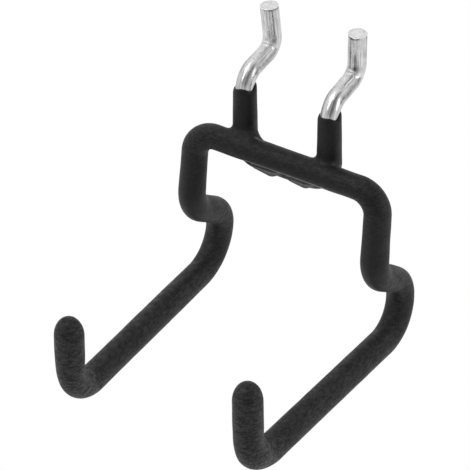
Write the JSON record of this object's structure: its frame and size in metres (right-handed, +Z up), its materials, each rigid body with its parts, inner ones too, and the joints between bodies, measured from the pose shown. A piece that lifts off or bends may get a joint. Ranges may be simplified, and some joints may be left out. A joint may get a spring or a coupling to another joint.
{
  "type": "pegboard hook",
  "caption": "Double-arm wire hook for pegboard with a crossbar, upturned tips, a black vinyl coating and two bare steel pegs.",
  "frame": {"origin": "on the board's front face, midway between the two pegs and level with their elbows", "axes": "+X to the right along the board as seen from the front, +Y back through the board, +Z up along the sleeves"},
  "size_m": [0.0638, 0.0849, 0.0856],
  "materials": {
    "zinc_wire": "bright zinc-plated steel wire, drawn, with fine marks along it",
    "weld_steel": "dull weld metal",
    "black_vinyl": "dipped soft vinyl, semi-matte, fine grain"
  },
  "bodies": {
    "root": {"hook_wire": "zinc_wire", "peg_wire": "zinc_wire", "weld_beads": "weld_steel", "vinyl_coating": "black_vinyl"}
  },
  "joints": []
}
